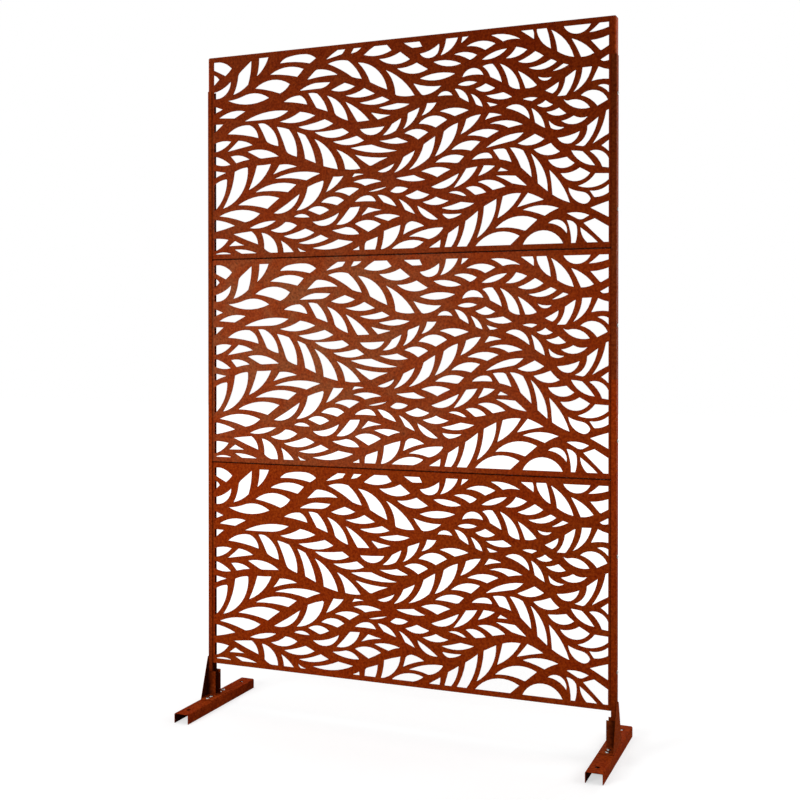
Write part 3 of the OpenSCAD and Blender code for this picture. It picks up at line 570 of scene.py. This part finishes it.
def add_fasteners():
    screw = screw_tree()
    nut = nut_tree()
    for row, name in enumerate(("bottom", "middle", "top")):
        heads, backs = [], []
        for side in (-1, 1):
            for up in PANEL_SCREWS_UP:
                z = PANEL_BASE + PANEL_PITCH * row + up
                heads.append(((side * POST_OUTSIDE, 0, z), (side, 0, 0)))
                backs.append(((side * SIDE_FOLD_INSIDE, 0, z), (side, 0, 0)))
        fasteners(name + "_panel_screws", screw, heads, PANEL_SCREW)
        fasteners(name + "_panel_nuts", nut, backs, SCREW_NUT)
    for side, name in ((-1, "left"), (1, "right")):
        x = side * POST_SCREW_ACROSS
        heads = [((x, SLEEVE_BACK, z), (0, 1, 0)) for z in POST_SCREW_HEIGHTS]
        backs = [((x, FLANGE_INSIDE, z), (0, 1, 0)) for z in POST_SCREW_HEIGHTS]
        fasteners(name + "_post_screws", screw, heads, POST_SCREW)
        fasteners(name + "_post_nuts", nut, backs, SCREW_NUT)
        x = side * BOLT_ACROSS
        heads = [((x, y, BRACKET_BASE_TOP), (0, 0, 1)) for y in BOLTS_ALONG]
        backs = [((x, y, FOOT_WEB_UNDERSIDE), (0, 0, 1)) for y in BOLTS_ALONG]
        fasteners(name + "_bracket_bolts", screw, heads, BOLT)
        fasteners(name + "_bracket_nuts", nut, backs, BOLT_NUT)


# ---- Room ----------------------------------------------------------------
def seen_directly(tree):
    """1 for rays from the camera, from gloss and through glass, and 0 for light on the object."""
    path = tree.node("ShaderNodeLightPath", output="Is Camera Ray")
    return (path + path.output("Is Glossy Ray") + path.output("Is Transmission Ray")).at_most(1)


def add_room():
    """A white surround, and a white floor that keeps a faint shadow, with a painted shadow under
    the feet.
    """
    world = bpy.data.worlds.new("white surround")
    world.use_nodes = True
    bpy.context.scene.world = world
    tree = Tree(world.node_tree)
    light = tree.node("ShaderNodeBackground", {}, {"Color": (1, 1, 1, 1), "Strength": 0.3})
    white = tree.node("ShaderNodeBackground", {}, {"Color": (1, 1, 1, 1), "Strength": 1.0})
    surround = tree.node("ShaderNodeMixShader", {}, {0: seen_directly(tree), 1: light, 2: white})
    tree.node("ShaderNodeOutputWorld", {}, {"Surface": surround})

    material, tree = new_material("white floor")
    place = tree.node("ShaderNodeTexCoord", output="Object")
    # the floor is painted dark under the two feet, a painted shadow in place of its white
    to_foot = tree.part_of(place, "X").distance_from(0).distance_from(FOOT_MIDDLE)
    from_middle = tree.part_of(place, "Y").distance_from(0)
    painted_shadow_under_feet = 1 - tree.stretch(to_foot, 18 * MM, 24 * MM)
    painted_shadow_under_feet = painted_shadow_under_feet * (1 - tree.stretch(from_middle, 80 * MM, 130 * MM))
    direct = seen_directly(tree)
    paint = tree.mix_colours(direct * (1 - painted_shadow_under_feet), (0.35, 0.35, 0.35, 1), (0.9, 0.9, 0.9, 1))
    paint = tree.mix_colours(direct * painted_shadow_under_feet, paint, (0.02, 0.02, 0.02, 1))
    matte = tree.node("ShaderNodeBsdfDiffuse", {}, {"Color": paint})
    white = tree.node("ShaderNodeEmission", {}, {"Color": (1, 1, 1, 1), "Strength": 1.22})
    # near the screen half of what is seen is the lit floor with its shadow, and far off none of it
    away = tree.distance(place)
    share = direct * (0.5 + 0.5 * tree.stretch(away, 0.8, 1.9)) * (1 - painted_shadow_under_feet)
    surface = tree.node("ShaderNodeMixShader", {}, {0: share, 1: matte, 2: white})
    tree.node("ShaderNodeOutputMaterial", {}, {"Surface": surface})
    mesh = bpy.data.meshes.new("floor")
    reach, level = 14, -0.2 * MM
    corners = [(-reach, -reach), (reach, -reach), (reach, reach), (-reach, reach)]
    mesh.from_pydata([(x, y, level) for x, y in corners], [], [(0, 1, 2, 3)])
    mesh.materials.append(material)
    floor = bpy.data.objects.new("floor", mesh)
    bpy.context.collection.objects.link(floor)


def add_softbox(name, place, target, width, height, power):
    data = bpy.data.lights.new(name, "AREA")
    data.shape = "RECTANGLE"
    data.size = width
    data.size_y = height
    data.energy = power
    lamp = bpy.data.objects.new(name, data)
    lamp.location = place
    lamp.rotation_euler = (Vector(target) - Vector(place)).to_track_quat("-Z", "Y").to_euler()
    bpy.context.collection.objects.link(lamp)


def add_lights():
    # place, the point it faces, width, height and power
    add_softbox("front softbox", (-1.02, -2.5, 0.98), (-0.15, 0, 1.0), 1.0, 0.6, 54.5)
    add_softbox("side softbox", (2.5, 0.4, 1.6), (0.6, 0, 1.2), 1.4, 1.4, 30)
    add_softbox("back softbox", (0.8, 2.8, 1.5), (0, 0, 0.95), 2.0, 1.4, 36)
    add_softbox("top softbox", (-1.3, -0.1, 3.0), (-0.5, -0.1, 0), 2.0, 1.6, 26)


# ---- The screen ----------------------------------------------------------
add_camera()
top_panel_coat = coat_material(
    "top panel coat",
    tint=(0.188, 0.0108, 0.0004),
    shade=(0.148, 0.0205, 0.0018),
    patches_and_reflection=painted_reflection_on_folds,
    sheen=0.045,
    roughness=0.43,
    darker=in_the_joints_and_high_up,
)
middle_panel_coat = coat_material(
    "middle panel coat",
    tint=(0.237, 0.0133, 0.0005),
    shade=(0.187, 0.0265, 0.002),
    patches_and_reflection=painted_reflection_left_of_middle,
    sheen=0.045,
    roughness=0.43,
    darker=in_the_joints,
)
bottom_panel_coat = coat_material(
    "bottom panel coat",
    tint=(0.225, 0.0135, 0.0004),
    shade=(0.176, 0.0265, 0.0018),
    patches_and_reflection=0.03,
    sheen=0.03,
    roughness=0.43,
    darker=in_the_joints,
)
left_lower_coat = coat_material(
    "left lower post coat",
    tint=(0.26, 0.018, 0.0007),
    shade=(0.21, 0.033, 0.003),
    patches_and_reflection=0.11,
    sheen=0.012,
    roughness=0.6,
    darker=low_down,
)
right_lower_coat = coat_material(
    "right lower post coat",
    tint=(0.285, 0.0195, 0.0008),
    shade=(0.23, 0.035, 0.003),
    patches_and_reflection=0.06,
    sheen=0.012,
    roughness=0.6,
    darker=low_down,
)
left_upper_coat = coat_material(
    "left upper post coat",
    tint=(0.185, 0.013, 0.0005),
    shade=(0.15, 0.023, 0.002),
    patches_and_reflection=0.07,
    sheen=0.012,
    roughness=0.6,
    darker=shade_round_the_screws,
)
right_upper_coat = coat_material(
    "right upper post coat",
    tint=(0.186, 0.016, 0.0015),
    shade=(0.153, 0.029, 0.0042),
    patches_and_reflection=0.13,
    sheen=0.02,
    roughness=0.6,
    darker=high_up,
)
foot_coat = coat_material(
    "foot coat",
    tint=(0.24, 0.0148, 0.0005),
    shade=(0.19, 0.0265, 0.0022),
    patches_and_reflection=0.1,
    sheen=0.01,
    roughness=0.75,
    darker=painted_shade_on_feet,
)
bracket_coat = coat_material(
    "bracket coat",
    tint=(0.21, 0.017, 0.0008),
    shade=(0.17, 0.026, 0.0025),
    patches_and_reflection=0.14,
    sheen=0.01,
    roughness=0.75,
    darker=beside_the_gusset,
)
zinc = zinc_material()

FINISHES = {
    top_panel_coat: ("top_panel",),
    middle_panel_coat: ("middle_panel",),
    bottom_panel_coat: ("bottom_panel",),
    left_lower_coat: ("left_lower_post",),
    right_lower_coat: ("right_lower_post",),
    left_upper_coat: ("left_upper_post",),
    right_upper_coat: ("right_upper_post",),
    foot_coat: ("left_foot", "right_foot"),
    bracket_coat: ("left_bracket", "right_bracket"),
    zinc: [node for node in nodes if node.endswith(("_screws", "_nuts", "_bolts"))],
}
for finish, finished in FINISHES.items():
    for node in finished:
        dress(node, finish)

add_fasteners()
add_room()
add_lights()
bpy.context.scene.view_settings.view_transform = "Standard"
